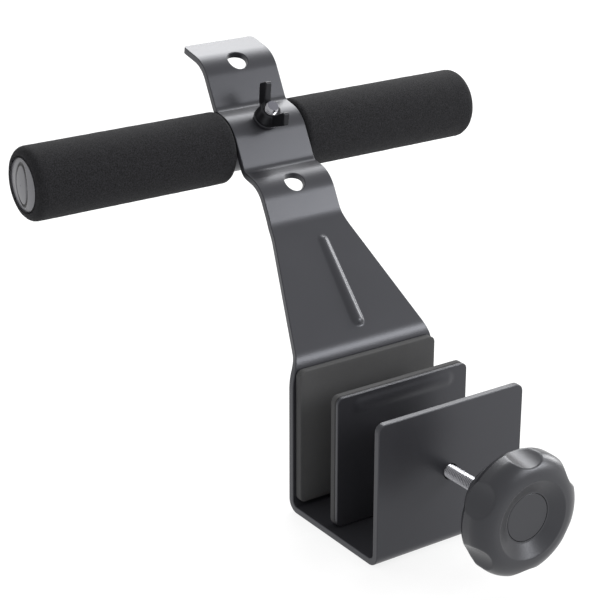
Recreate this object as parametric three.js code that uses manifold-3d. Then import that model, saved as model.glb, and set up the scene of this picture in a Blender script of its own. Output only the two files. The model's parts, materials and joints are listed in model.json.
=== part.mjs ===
// Door-clamp exercise bar: a bent steel bracket that clamps on a door's edge and carries a
// foam-covered bar in one of three stepped seats, held by a wing nut.
//
// Millimetres. X runs along the bar, -Y is the hand knob's side, +Z is up. The origin is
// where the clamp screw's axis meets the face of the back pad.

import * as THREE from "three";
import { mergeVertices } from "three/addons/utils/BufferGeometryUtils.js";
import Module from "manifold-3d";

// ---- driving dimensions ----

// Gap left wherever two separate pieces touch.
const TOUCH = 0.3;

// Bracket: steel plate, bent on a press brake.
const PLATE = 4;
const CLAMP_WIDTH = 100;
const STRAP_WIDTH = 50;
const FRONT_WALL_INNER_Y = -72;
const FRONT_WALL_TOP_Z = 40.7;
const BASE_TOP_Z = -41.5;
const WALL_BEND_Z = 46.8;
const PANEL_ANGLE = 45.7;
const PANEL_LENGTH = 83.9;
const RISER_ANGLE = 62.5;
const TREAD_ANGLE = 13;
const FIRST_RISER = 24.8;
const RISER = 29.75;
const TREAD = 17.15;
const LIP = 24.2;
const SEAT_COUNT = 3;
const SEAT_HOLE_RADIUS = 6.5;
const U_BEND_RADIUS = 3.5;
const PANEL_FOOT_RADIUS = 16;
const PANEL_HEAD_RADIUS = 18;
const JOGGLE_RADIUS = 5;

// Bracket seen from the front: the wide clamp tapers to the strap.
const TAPER_BOTTOM_Z = 38.5;
const TAPER_TOP_Z = 105.7;
const TAPER_FOOT_RADIUS = 45;
const TAPER_HEAD_RADIUS = 35;
const FRONT_CORNER_RADIUS = 5;
const LIP_CORNER_RADIUS = 3;

// Rib along the taper: its ends' places up the panel, and how far it lies off the middle.
const RIB_RADIUS = 5;
const RIB_PROUD = 2;
const RIB_START = 16.5;
const RIB_END = 69;
const RIB_OFFSET = 3;

// Pads and the pressure plate.
const PAD_CORNER_RADIUS = 4;
const BACK_PAD_THICKNESS = 5;
const BACK_PAD_HALF_WIDTH = 48;
const BACK_PAD_BOTTOM_Z = -38.9;
const BACK_PAD_TOP_Z = 43.3;
const REST_GAP = 26;
const PRESSURE_WIDTH = 91;
const PRESSURE_TOP_Z = 38.7;
const PRESSURE_BOTTOM_Z = -41;
const PRESSURE_PAD_THICKNESS = 3.8;
const PRESSURE_PLATE_THICKNESS = 2.3;
const BOSS_RADIUS = 6;
const BOSS_LENGTH = 62;
const BOSS_BELOW_TOP = 7;
const BOSS_PROUD = 1.2;

// Clamp screw, its nut, washer and clip.
const M8_RADIUS = 4;
const SCREW_HOLE_RADIUS = 4.5;
const SCREW_HEAD_RADIUS = 6.5;
const SCREW_HEAD_THICKNESS = 5.3;
const TIP_RADIUS = 3;
const TIP_THROUGH = 2;
const WELD_NUT_WIDTH = 14;
const WELD_NUT_THICKNESS = 6.5;
const THRUST_RADIUS = 8;
const THRUST_THICKNESS = 1.3;
const CLIP_RADIUS = 5.5;
const CLIP_THICKNESS = 1;
const CLIP_POCKET_RADIUS = 7;
const CLIP_POCKET_SKIN = 1;

// Hand knob, from its hub at the back to the crown around its dish.
const KNOB_BACK_Y = -110.5;
const KNOB_SKIRT_Y = -123;
const KNOB_CROWN_Y = -134;
const KNOB_FRONT_Y = -144.3;
const KNOB_RADIUS = 35.2;
const KNOB_HUB_RADIUS = 17.5;
const KNOB_SKIRT_RADIUS = 28;
const DISH_RIM_RADIUS = 23.3;
const KNOB_LOBES = 6;
const SCOOP_RADIUS = 20;
const SCOOP_FLOOR = 31.6;
const SCOOP_LEAN = 10.4;
const SCOOP_LENGTH = 60;
const CAP_DISC_RADIUS = 13.6;
const CAP_DISC_FRONT_Y = -139.8;
const CAP_DISC_BACK_Y = -137.6;

// Bar: tube, foam grips and end caps.
const TUBE_RADIUS = 16;
const TUBE_WALL = 1.5;
const BAR_HALF = 155;
const FOAM_RADIUS = 21.8;
const FOAM_EDGE_RADIUS = 5.2;
const CAP_RADIUS = 15.8;
const CAP_FLANGE = 2.4;
const CAP_DOME = 1;
const CAP_PLUG_LENGTH = 18;
const CAP_PLUG_WALL = 2;

// Bar bolt, its washer and wing nut.
const BOLT_HEAD_RADIUS = 9;
const BOLT_HEAD_HEIGHT = 4.4;
const BOLT_PROUD = 13;
const WASHER_RADIUS = 8;
const WASHER_THICKNESS = 1.6;
const NUT_FOOT_RADIUS = 7.8;
const NUT_CROWN_RADIUS = 6.4;
const NUT_HEIGHT = 7.5;
const EAR_THICKNESS = 3.2;

// ---- derived places ----

const SEAT_RADIUS = TUBE_RADIUS + TOUCH + PLATE;
const SEAT_TURN = RISER_ANGLE - TREAD_ANGLE;
const SEAT_NORMAL_ANGLE = TREAD_ANGLE + SEAT_TURN / 2 + 90;
const BASE_BOTTOM_Z = BASE_TOP_Z - PLATE;
const PRESSURE_PLATE_BACK_Y = -REST_GAP - PRESSURE_PAD_THICKNESS - TOUCH;
const PRESSURE_PLATE_FRONT_Y = PRESSURE_PLATE_BACK_Y - PRESSURE_PLATE_THICKNESS;
const THRUST_BACK_Y = PRESSURE_PLATE_FRONT_Y - TOUCH;
const SHOULDER_Y = THRUST_BACK_Y - THRUST_THICKNESS - TOUCH;
const TUBE_HALF = BAR_HALF - CAP_FLANGE - TOUCH;
const BOLT_BORE = M8_RADIUS + TOUCH;
const WASHER_LOW = SEAT_RADIUS + TOUCH;
const NUT_LOW = WASHER_LOW + WASHER_THICKNESS + TOUCH;

// ---- materials ----

const BLACK_PAINT = { color: 0x202124, roughness: 0.42, metalness: 0.2 };
const PAD_RUBBER = { color: 0x3a3a3c, roughness: 0.9, metalness: 0 };
const GRIP_FOAM = { color: 0x161617, roughness: 0.95, metalness: 0 };
const BLACK_PLASTIC = { color: 0x232326, roughness: 0.5, metalness: 0 };
const CAP_PLASTIC = { color: 0x3c3c3e, roughness: 0.5, metalness: 0 };
const BRIGHT_ZINC = { color: 0xc8c8cc, roughness: 0.3, metalness: 1 };

// ---- solids ----

const wasm = await Module();
wasm.setup();

// A closed geometry as a solid that can be joined and cut.
function solid(geometry, placement) {
  const shell = geometry.clone();
  shell.deleteAttribute("normal");
  shell.deleteAttribute("uv");
  if (placement) shell.applyMatrix4(placement);
  const merged = mergeVertices(shell, 1e-4);
  const mesh = new wasm.Mesh({
    numProp: 3,
    vertProperties: new Float32Array(merged.attributes.position.array),
    triVerts: new Uint32Array(merged.index.array),
  });
  return new wasm.Manifold(mesh);
}

function geometryOf(body) {
  const mesh = body.getMesh();
  const geometry = new THREE.BufferGeometry();
  geometry.setAttribute("position", new THREE.BufferAttribute(mesh.vertProperties, 3));
  geometry.setIndex(new THREE.BufferAttribute(mesh.triVerts, 1));
  geometry.computeVertexNormals();
  return geometry;
}

const moved = (x, y, z) => new THREE.Matrix4().makeTranslation(x, y, z);
const radians = THREE.MathUtils.degToRad;

// Extrusion frames: the outline's two axes and the way it is extruded.
const SIDE_VIEW = new THREE.Matrix4().makeBasis(
  new THREE.Vector3(0, 1, 0),
  new THREE.Vector3(0, 0, 1),
  new THREE.Vector3(1, 0, 0),
);
const FRONT_VIEW = new THREE.Matrix4().makeBasis(
  new THREE.Vector3(1, 0, 0),
  new THREE.Vector3(0, 0, 1),
  new THREE.Vector3(0, -1, 0),
);

// A polygon given as [x, y, radius] corners, each rounded by an arc.
function roundedOutline(corners) {
  const outline = new THREE.Shape();
  corners.forEach(([x, y, radius], i) => {
    const here = new THREE.Vector2(x, y);
    const last = corners[(i + corners.length - 1) % corners.length];
    const next = corners[(i + 1) % corners.length];
    const back = new THREE.Vector2(last[0], last[1]).sub(here).normalize();
    const ahead = new THREE.Vector2(next[0], next[1]).sub(here).normalize();
    if (!radius) {
      if (i === 0) outline.moveTo(x, y);
      else outline.lineTo(x, y);
      return;
    }
    const half = Math.acos(THREE.MathUtils.clamp(back.dot(ahead), -1, 1)) / 2;
    const inwards = back.clone().add(ahead).setLength(radius / Math.sin(half));
    const centre = here.clone().add(inwards);
    const start = back.clone().multiplyScalar(radius / Math.tan(half)).sub(inwards);
    const end = ahead.clone().multiplyScalar(radius / Math.tan(half)).sub(inwards);
    const clockwise = back.x * ahead.y - back.y * ahead.x > 0;
    if (i === 0) outline.moveTo(centre.x + start.x, centre.y + start.y);
    outline.absarc(centre.x, centre.y, radius, start.angle(), end.angle(), clockwise);
  });
  outline.closePath();
  return outline;
}

function extruded(outline, depth, curveSegments = 6) {
  return new THREE.ExtrudeGeometry(outline, { depth, bevelEnabled: false, curveSegments });
}

// A flat plate in the front view, from yBack forward by its thickness.
function frontPlate(corners, yBack, thickness, curveSegments) {
  const placement = moved(0, yBack, 0).multiply(FRONT_VIEW);
  return extruded(roundedOutline(corners), thickness, curveSegments).applyMatrix4(placement);
}

function rectangle(halfWidth, bottom, top, radius) {
  return [
    [-halfWidth, bottom, radius],
    [halfWidth, bottom, radius],
    [halfWidth, top, radius],
    [-halfWidth, top, radius],
  ];
}

// A piece of revolution about Y from a closed list of [radius, y] points.
function turned(profile, segments = 40) {
  const ring = profile.map(([r, y]) => new THREE.Vector2(r, y));
  ring.push(ring[0].clone());
  const geometry = new THREE.LatheGeometry(ring, segments);
  geometry.deleteAttribute("normal");
  geometry.deleteAttribute("uv");
  const merged = mergeVertices(geometry, 1e-4);
  const positions = merged.attributes.position;
  const index = merged.index.array;
  const kept = [];
  let volume = 0;
  const corner = [new THREE.Vector3(), new THREE.Vector3(), new THREE.Vector3()];
  for (let i = 0; i < index.length; i += 3) {
    const [a, b, c] = [index[i], index[i + 1], index[i + 2]];
    if (a === b || b === c || c === a) continue;
    kept.push(a, b, c);
    corner.forEach((v, k) => v.fromBufferAttribute(positions, [a, b, c][k]));
    volume += corner[0].dot(corner[1].clone().cross(corner[2]));
  }
  if (volume < 0) kept.reverse();
  merged.setIndex(kept);
  merged.computeVertexNormals();
  return merged;
}

// The two-sided outline of a bent sheet. The path runs along the sheet's face, as leg lengths,
// each followed by a turn and that face's bend radius; the sheet lies to the right of the path.
function bentSheet(start, heading, legs, thickness) {
  const face = [[start[0], start[1], 0]];
  const back = [];
  let angle = radians(heading);
  let [x, y] = start;
  back.push([x + thickness * Math.sin(angle), y - thickness * Math.cos(angle), 0]);
  for (const { length, turn = 0, radius = 0 } of legs) {
    x += length * Math.cos(angle);
    y += length * Math.sin(angle);
    const miter = angle + radians(turn) / 2;
    const reach = thickness / Math.cos(radians(turn) / 2);
    const outer = radius && radius + Math.sign(turn) * thickness;
    face.push([x, y, radius]);
    back.push([x + reach * Math.sin(miter), y - reach * Math.cos(miter), outer]);
    angle += radians(turn);
  }
  return { face, back };
}

// ---- bracket ----

function bracketPath() {
  const legs = [
    { length: FRONT_WALL_TOP_Z - BASE_TOP_Z, turn: 90, radius: U_BEND_RADIUS },
    { length: BACK_PAD_THICKNESS - FRONT_WALL_INNER_Y, turn: 90, radius: U_BEND_RADIUS },
    { length: WALL_BEND_Z - BASE_TOP_Z, turn: PANEL_ANGLE - 90, radius: PANEL_FOOT_RADIUS },
    { length: PANEL_LENGTH, turn: RISER_ANGLE - PANEL_ANGLE, radius: PANEL_HEAD_RADIUS },
  ];
  for (let seat = 1; seat <= SEAT_COUNT; seat += 1) {
    legs.push({ length: seat === 1 ? FIRST_RISER : RISER, turn: -SEAT_TURN, radius: SEAT_RADIUS });
    if (seat < SEAT_COUNT) legs.push({ length: TREAD, turn: SEAT_TURN, radius: JOGGLE_RADIUS });
    else legs.push({ length: LIP });
  }
  return bentSheet([FRONT_WALL_INNER_Y, FRONT_WALL_TOP_Z], -90, legs, PLATE);
}

const path = bracketPath();
const panelFoot = path.face[3];
const lipEnd = path.face[path.face.length - 1];
const seatCorners = path.face.slice(5).filter((corner, i) => i % 2 === 0);

// The tube's axis when the bar lies in a seat.
function seatAxis([y, z]) {
  const inwards = SEAT_RADIUS / Math.cos(radians(SEAT_TURN / 2));
  const angle = radians(SEAT_NORMAL_ANGLE);
  return [y - inwards * Math.cos(angle), z - inwards * Math.sin(angle)];
}

const MIDDLE_SEAT = 1;
const [BAR_Y, BAR_Z] = seatAxis(seatCorners[MIDDLE_SEAT]);

// Y turned to the seat's outward normal, at a given bar axis.
function alongSeatNormal(y, z) {
  return moved(0, y, z).multiply(new THREE.Matrix4().makeRotationX(radians(SEAT_NORMAL_ANGLE)));
}

// The back wall, taper and strap, seen from the front.
function backOutline() {
  const wall = CLAMP_WIDTH / 2;
  const strap = STRAP_WIDTH / 2;
  const below = BASE_BOTTOM_Z - PLATE;
  const above = lipEnd[1] + PLATE;
  return [
    [-wall, below, 0],
    [wall, below, 0],
    [wall, TAPER_BOTTOM_Z, TAPER_FOOT_RADIUS],
    [strap, TAPER_TOP_Z, TAPER_HEAD_RADIUS],
    [strap, above, 0],
    [-strap, above, 0],
    [-strap, TAPER_TOP_Z, TAPER_HEAD_RADIUS],
    [-wall, TAPER_BOTTOM_Z, TAPER_FOOT_RADIUS],
  ];
}

// The front wall and base, seen from the front.
function wallOutline() {
  const wall = CLAMP_WIDTH / 2;
  const below = BASE_BOTTOM_Z - PLATE;
  return [
    [-wall, below, 0],
    [wall, below, 0],
    [wall, FRONT_WALL_TOP_Z, FRONT_CORNER_RADIUS],
    [-wall, FRONT_WALL_TOP_Z, FRONT_CORNER_RADIUS],
  ];
}

// Round-nosed punch lying along the taper, sunk below the panel's face.
function ribPunch(sunk) {
  const slope = radians(PANEL_ANGLE);
  const along = (RIB_START + RIB_END) / 2;
  const y = panelFoot[0] + along * Math.cos(slope) + sunk * Math.sin(slope);
  const z = panelFoot[1] + along * Math.sin(slope) - sunk * Math.cos(slope);
  const placement = moved(RIB_OFFSET, y, z).multiply(new THREE.Matrix4().makeRotationX(slope));
  return solid(new THREE.CapsuleGeometry(RIB_RADIUS, RIB_END - RIB_START, 5, 16), placement);
}

function makeBracket() {
  const beyond = 300;
  const profile = roundedOutline([...path.face, ...path.back.slice().reverse()]);
  const sideways = moved(-CLAMP_WIDTH / 2, 0, 0).multiply(SIDE_VIEW);
  const sheet = solid(extruded(profile, CLAMP_WIDTH), sideways);

  // Cut to its front outlines, which meet halfway along the base.
  const midBaseY = FRONT_WALL_INNER_Y / 2;
  const backCut = solid(frontPlate(backOutline(), beyond, beyond - midBaseY, 5));
  const frontCut = solid(frontPlate(wallOutline(), midBaseY + TOUCH, beyond));

  // Cut in plan, which rounds the corners of the lip.
  const below = moved(0, 0, BASE_BOTTOM_Z - PLATE);
  const lip = rectangle(STRAP_WIDTH / 2, -beyond, lipEnd[0], LIP_CORNER_RADIUS);
  const rest = rectangle(CLAMP_WIDTH, -beyond, BAR_Y, 0);
  const lipCut = solid(extruded(roundedOutline(lip), beyond), below);
  const restCut = solid(extruded(roundedOutline(rest), beyond), below);
  let body = sheet.intersect(backCut.add(frontCut)).intersect(lipCut.add(restCut));

  const ribSunk = RIB_RADIUS - RIB_PROUD;
  body = body.add(ribPunch(ribSunk)).subtract(ribPunch(ribSunk + PLATE));

  const drillLength = 3 * SEAT_RADIUS;
  for (const corner of seatCorners) {
    const drill = new THREE.CylinderGeometry(SEAT_HOLE_RADIUS, SEAT_HOLE_RADIUS, drillLength, 28);
    const outwards = alongSeatNormal(...seatAxis(corner)).multiply(moved(0, drillLength / 2, 0));
    body = body.subtract(solid(drill, outwards));
  }
  const screwDrill = new THREE.CylinderGeometry(SCREW_HOLE_RADIUS, SCREW_HOLE_RADIUS, 4 * PLATE, 28);
  return geometryOf(body.subtract(solid(screwDrill, moved(0, FRONT_WALL_INNER_Y, 0))));
}

// ---- clamp ----

function makeBackPad() {
  const corners = rectangle(BACK_PAD_HALF_WIDTH, BACK_PAD_BOTTOM_Z, BACK_PAD_TOP_Z, PAD_CORNER_RADIUS);
  return frontPlate(corners, BACK_PAD_THICKNESS - TOUCH, BACK_PAD_THICKNESS - TOUCH);
}

const pressureCorners = rectangle(
  PRESSURE_WIDTH / 2,
  PRESSURE_BOTTOM_Z,
  PRESSURE_TOP_Z,
  PAD_CORNER_RADIUS,
);

// Its pocket clears the clip, under a thin skin.
function makePressurePad() {
  const pocketLength = 2 * (PRESSURE_PAD_THICKNESS - CLIP_POCKET_SKIN);
  const pocket = new THREE.CylinderGeometry(CLIP_POCKET_RADIUS, CLIP_POCKET_RADIUS, pocketLength, 28);
  const pad = solid(frontPlate(pressureCorners, -REST_GAP, PRESSURE_PAD_THICKNESS));
  return geometryOf(pad.subtract(solid(pocket, moved(0, -REST_GAP - PRESSURE_PAD_THICKNESS, 0))));
}

function bossPunch(sunk) {
  const capsule = new THREE.CapsuleGeometry(BOSS_RADIUS, BOSS_LENGTH, 5, 20);
  const place = moved(0, PRESSURE_PLATE_FRONT_Y + sunk, PRESSURE_TOP_Z - BOSS_BELOW_TOP);
  return solid(capsule, place.multiply(new THREE.Matrix4().makeRotationZ(Math.PI / 2)));
}

// Steel plate with a long round-ended boss pressed forward near its top edge.
function makePressurePlate() {
  const sunk = BOSS_RADIUS - BOSS_PROUD;
  const flat = solid(frontPlate(pressureCorners, PRESSURE_PLATE_BACK_Y, PRESSURE_PLATE_THICKNESS));
  const ahead = solid(frontPlate(pressureCorners, PRESSURE_PLATE_BACK_Y, 4 * PRESSURE_PLATE_THICKNESS));
  const pressed = flat
    .add(bossPunch(sunk).intersect(ahead))
    .subtract(bossPunch(sunk + PRESSURE_PLATE_THICKNESS));
  const hole = TIP_RADIUS + TOUCH;
  const drill = new THREE.CylinderGeometry(hole, hole, 4 * PRESSURE_PLATE_THICKNESS, 24);
  return geometryOf(pressed.subtract(solid(drill, moved(0, PRESSURE_PLATE_FRONT_Y, 0))));
}

function makeWeldNut() {
  const half = WELD_NUT_WIDTH / 2;
  const back = FRONT_WALL_INNER_Y + TOUCH + WELD_NUT_THICKNESS;
  const block = solid(frontPlate(rectangle(half, -half, half, 1), back, WELD_NUT_THICKNESS, 2));
  const drill = new THREE.CylinderGeometry(BOLT_BORE, BOLT_BORE, 3 * WELD_NUT_THICKNESS, 24);
  return geometryOf(block.subtract(solid(drill, moved(0, back, 0))));
}

function ringProfile(inner, outer, low, high) {
  return [[inner, low], [outer, low], [outer, high], [inner, high]];
}

function makeThrustWasher() {
  const bore = TIP_RADIUS + TOUCH;
  return turned(ringProfile(bore, THRUST_RADIUS, THRUST_BACK_Y - THRUST_THICKNESS, THRUST_BACK_Y), 32);
}

function makeRetainingClip() {
  const front = PRESSURE_PLATE_BACK_Y + TOUCH;
  return turned(ringProfile(TIP_RADIUS + TOUCH, CLIP_RADIUS, front, front + CLIP_THICKNESS), 32);
}

// M8 screw: its head sits in the knob, its turned-down tip goes through the pressure plate.
function makeClampScrew() {
  const headFront = CAP_DISC_BACK_Y + TOUCH;
  const headBack = headFront + SCREW_HEAD_THICKNESS;
  const tipEnd = PRESSURE_PLATE_BACK_Y + TOUCH + TIP_THROUGH;
  return turned([
    [0, headFront],
    [SCREW_HEAD_RADIUS, headFront],
    [SCREW_HEAD_RADIUS, headBack],
    [M8_RADIUS, headBack],
    [M8_RADIUS, SHOULDER_Y],
    [TIP_RADIUS, SHOULDER_Y],
    [TIP_RADIUS, tipEnd],
    [0, tipEnd],
  ], 32);
}

// Points on an arc about [r, y], from one angle to another in degrees.
function arcPoints(r, y, radiusR, radiusY, from, to, steps) {
  const points = [];
  for (let i = 0; i <= steps; i += 1) {
    const angle = radians(from + ((to - from) * i) / steps);
    points.push([r + radiusR * Math.cos(angle), y + radiusY * Math.sin(angle)]);
  }
  return points;
}

// Six-lobed hand knob: a turned body with a leaning flute cut between each two lobes.
function makeKnob() {
  const headPocket = SCREW_HEAD_RADIUS + TOUCH;
  const headBack = CAP_DISC_BACK_Y + 2 * TOUCH + SCREW_HEAD_THICKNESS;
  const recess = CAP_DISC_RADIUS + TOUCH;
  const crownWidth = KNOB_RADIUS - DISH_RIM_RADIUS;
  const crownDepth = KNOB_CROWN_Y - KNOB_FRONT_Y;
  const body = turned([
    [BOLT_BORE, KNOB_BACK_Y],
    [KNOB_HUB_RADIUS - 2, KNOB_BACK_Y],
    [KNOB_HUB_RADIUS, KNOB_BACK_Y - 2],
    [KNOB_HUB_RADIUS + 1.5, KNOB_SKIRT_Y + 1.5],
    [KNOB_SKIRT_RADIUS, KNOB_SKIRT_Y],
    [KNOB_RADIUS - 2, KNOB_SKIRT_Y - 3],
    [KNOB_RADIUS, KNOB_SKIRT_Y - 7],
    ...arcPoints(DISH_RIM_RADIUS, KNOB_CROWN_Y, crownWidth, -crownDepth, 0, 90, 8),
    [recess + 3, CAP_DISC_FRONT_Y - 1],
    [recess, CAP_DISC_FRONT_Y],
    [recess, CAP_DISC_BACK_Y + TOUCH],
    [headPocket, CAP_DISC_BACK_Y + TOUCH],
    [headPocket, headBack],
    [BOLT_BORE, headBack],
  ], 50);
  let knob = solid(body);
  for (let i = 0; i < KNOB_LOBES; i += 1) {
    const scoop = new THREE.CylinderGeometry(SCOOP_RADIUS, SCOOP_RADIUS, SCOOP_LENGTH, 64);
    scoop.rotateZ(radians(-SCOOP_LEAN));
    scoop.translate(SCOOP_FLOOR + SCOOP_RADIUS, KNOB_CROWN_Y, 0);
    scoop.rotateY(((i + 0.5) * 2 * Math.PI) / KNOB_LOBES);
    knob = knob.subtract(solid(scoop));
  }
  return geometryOf(knob);
}

function makeKnobCap() {
  const edge = 0.6;
  return turned([
    [0, CAP_DISC_FRONT_Y],
    [CAP_DISC_RADIUS - edge, CAP_DISC_FRONT_Y],
    [CAP_DISC_RADIUS, CAP_DISC_FRONT_Y + edge],
    [CAP_DISC_RADIUS, CAP_DISC_BACK_Y],
    [0, CAP_DISC_BACK_Y],
  ]);
}

// ---- bar ----

// Turned about Y, as the grips and end caps are; the bar's groups lay Y along the bar.
function makeTube() {
  const wall = turned(ringProfile(TUBE_RADIUS - TUBE_WALL, TUBE_RADIUS, -TUBE_HALF, TUBE_HALF), 48);
  const drill = new THREE.CylinderGeometry(BOLT_BORE, BOLT_BORE, 4 * TUBE_RADIUS, 24);
  const across = new THREE.Matrix4().makeRotationZ(Math.PI / 2);
  return geometryOf(solid(wall).subtract(solid(drill, across)));
}

function makeGrip() {
  const inner = STRAP_WIDTH / 2 + 2 * TOUCH;
  const bore = TUBE_RADIUS + TOUCH;
  const round = FOAM_EDGE_RADIUS;
  return turned([
    [bore, inner],
    ...arcPoints(FOAM_RADIUS - round, inner + round, round, round, -90, 0, 5),
    ...arcPoints(FOAM_RADIUS - round, BAR_HALF - round, round, round, 0, 90, 5),
    [bore, BAR_HALF],
  ], 44);
}

// Domed flange outside, hollow plug inside the tube.
function makeEndCap() {
  const plug = TUBE_RADIUS - TUBE_WALL - TOUCH;
  const seat = TUBE_HALF + TOUCH;
  const edge = 1;
  return turned([
    [0, BAR_HALF + CAP_DOME],
    [CAP_RADIUS / 2, BAR_HALF + CAP_DOME * 0.8],
    [CAP_RADIUS - edge, BAR_HALF],
    [CAP_RADIUS, BAR_HALF - edge],
    [CAP_RADIUS, seat],
    [plug, seat],
    [plug, seat - CAP_PLUG_LENGTH],
    [plug - CAP_PLUG_WALL, seat - CAP_PLUG_LENGTH],
    [plug - CAP_PLUG_WALL, seat],
    [0, seat],
  ]);
}

// Carriage bolt along the seat's normal, its head against the back of the tube.
function makeBarBolt() {
  const under = -TUBE_RADIUS - TOUCH;
  const end = SEAT_RADIUS + BOLT_PROUD;
  return turned([
    ...arcPoints(0, under, BOLT_HEAD_RADIUS, -BOLT_HEAD_HEIGHT, 90, 0, 4),
    [M8_RADIUS, under],
    [M8_RADIUS, end - 1],
    [M8_RADIUS - 1, end],
    [0, end],
  ], 28);
}

function makeNutWasher() {
  return turned(ringProfile(BOLT_BORE, WASHER_RADIUS, WASHER_LOW, WASHER_LOW + WASHER_THICKNESS), 32);
}

// An ear's outline: out from the hub, then flared up and away from it.
function earOutline(side) {
  const corners = [
    [side * 4.6, NUT_LOW + 1, 0],
    [side * 9, NUT_LOW + 3, 3],
    [side * 17.5, SEAT_RADIUS + 13.2, 2],
    [side * 11.1, SEAT_RADIUS + 22.1, 2],
    [side * 4.6, NUT_LOW + NUT_HEIGHT, 0],
  ];
  return roundedOutline(side > 0 ? corners : corners.reverse());
}

// Round hub with two flat ears, which stand up the slope and down it.
function makeWingNut() {
  const alongSlope = new THREE.Matrix4().makeBasis(
    new THREE.Vector3(0, 0, 1),
    new THREE.Vector3(0, 1, 0),
    new THREE.Vector3(-1, 0, 0),
  );
  const hub = turned([
    [0, NUT_LOW],
    [NUT_FOOT_RADIUS, NUT_LOW],
    [NUT_CROWN_RADIUS, NUT_LOW + NUT_HEIGHT],
    [0, NUT_LOW + NUT_HEIGHT],
  ], 32);
  let nut = solid(hub);
  for (const side of [1, -1]) {
    const placement = moved(EAR_THICKNESS / 2, 0, 0).multiply(alongSlope);
    nut = nut.add(solid(extruded(earOutline(side), EAR_THICKNESS, 4), placement));
  }
  const drill = new THREE.CylinderGeometry(BOLT_BORE, BOLT_BORE, 8 * NUT_HEIGHT, 24);
  return geometryOf(nut.subtract(solid(drill, moved(0, NUT_LOW, 0))));
}

// ---- assembly ----

const assembly = new THREE.Group();

function add(group, name, geometry, look) {
  const mesh = new THREE.Mesh(geometry, new THREE.MeshStandardMaterial(look));
  mesh.name = name;
  group.add(mesh);
}

add(assembly, "bracket", makeBracket(), BLACK_PAINT);
add(assembly, "weld_nut", makeWeldNut(), BLACK_PAINT);
add(assembly, "back_pad", makeBackPad(), PAD_RUBBER);
add(assembly, "pressure_plate", makePressurePlate(), BLACK_PAINT);
add(assembly, "pressure_pad", makePressurePad(), PAD_RUBBER);
add(assembly, "thrust_washer", makeThrustWasher(), BRIGHT_ZINC);
add(assembly, "retaining_clip", makeRetainingClip(), BRIGHT_ZINC);
add(assembly, "clamp_screw", makeClampScrew(), BRIGHT_ZINC);
add(assembly, "clamp_knob", makeKnob(), BLACK_PLASTIC);
add(assembly, "knob_cap", makeKnobCap(), BLACK_PLASTIC);

// The bar's group: X along the bar, Y along the middle seat's outward normal.
const seated = new THREE.Group();
seated.applyMatrix4(alongSeatNormal(BAR_Y, BAR_Z));
assembly.add(seated);
add(seated, "bar_bolt", makeBarBolt(), BRIGHT_ZINC);
add(seated, "nut_washer", makeNutWasher(), BRIGHT_ZINC);
add(seated, "wing_nut", makeWingNut(), BLACK_PAINT);

// Groups that lay a turned piece's Y along the bar, to its right end or its left.
function alongBar(sign) {
  const group = new THREE.Group();
  group.rotation.z = (-sign * Math.PI) / 2;
  seated.add(group);
  return group;
}

const right = alongBar(1);
const left = alongBar(-1);
add(right, "bar_tube", makeTube(), BLACK_PAINT);
add(right, "foam_grip_right", makeGrip(), GRIP_FOAM);
add(right, "end_cap_right", makeEndCap(), CAP_PLASTIC);
add(left, "foam_grip_left", makeGrip(), GRIP_FOAM);
add(left, "end_cap_left", makeEndCap(), CAP_PLASTIC);

export default assembly;
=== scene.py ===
import json
import math

import bmesh
import bpy
from mathutils import Matrix, Vector, noise


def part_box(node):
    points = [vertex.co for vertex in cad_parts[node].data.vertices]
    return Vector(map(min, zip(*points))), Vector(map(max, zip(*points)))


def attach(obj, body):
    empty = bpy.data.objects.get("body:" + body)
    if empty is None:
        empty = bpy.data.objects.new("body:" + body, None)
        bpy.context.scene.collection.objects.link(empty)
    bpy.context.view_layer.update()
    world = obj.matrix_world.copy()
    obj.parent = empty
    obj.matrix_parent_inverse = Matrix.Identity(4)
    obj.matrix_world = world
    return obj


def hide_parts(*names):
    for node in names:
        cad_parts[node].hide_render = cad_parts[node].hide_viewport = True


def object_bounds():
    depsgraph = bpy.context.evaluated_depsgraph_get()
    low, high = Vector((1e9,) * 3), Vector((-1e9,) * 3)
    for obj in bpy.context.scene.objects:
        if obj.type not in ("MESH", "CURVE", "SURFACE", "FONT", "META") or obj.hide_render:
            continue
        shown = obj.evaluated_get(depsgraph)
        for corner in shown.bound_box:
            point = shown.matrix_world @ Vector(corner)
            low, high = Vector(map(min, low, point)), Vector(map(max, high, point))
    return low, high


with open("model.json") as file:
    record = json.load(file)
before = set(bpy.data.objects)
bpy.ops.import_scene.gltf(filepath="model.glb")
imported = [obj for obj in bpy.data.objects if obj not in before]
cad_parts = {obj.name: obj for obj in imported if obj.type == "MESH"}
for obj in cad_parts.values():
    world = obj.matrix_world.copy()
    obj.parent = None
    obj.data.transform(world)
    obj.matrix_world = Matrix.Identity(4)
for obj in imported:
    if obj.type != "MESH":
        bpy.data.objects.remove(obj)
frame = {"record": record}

cad_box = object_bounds()
mm = 0.001


# ---- Camera and studio ----
# A long lens looks down on the part from the left of its hand knob. The floor is a pale sheet,
# lit from below and by a white room, with one soft box high up behind on the right, a second low
# in front on the right and a third out to the right side.

CAMERA_AZIMUTH = math.radians(-34.391)
CAMERA_ELEVATION = math.radians(21.629)
CAMERA_DISTANCE = 1045.1 * mm
CAMERA_AIM = Vector((-18.26, 44.15, 66.27)) * mm
LENS = 107.67
NEAREST = 50 * mm
FLOOR_HALF = 6.0
PAPER = (0.16, 0.16, 0.16, 1)
PAPER_ROUGHNESS = 0.8
PAPER_GLOW = 0.83
ROOM_LIGHT = 0.93


def towards(azimuth, elevation):
    """The unit vector from the object to a viewer at those angles."""
    level = math.cos(elevation)
    return Vector((math.sin(azimuth) * level, -math.cos(azimuth) * level, math.sin(elevation)))


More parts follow.
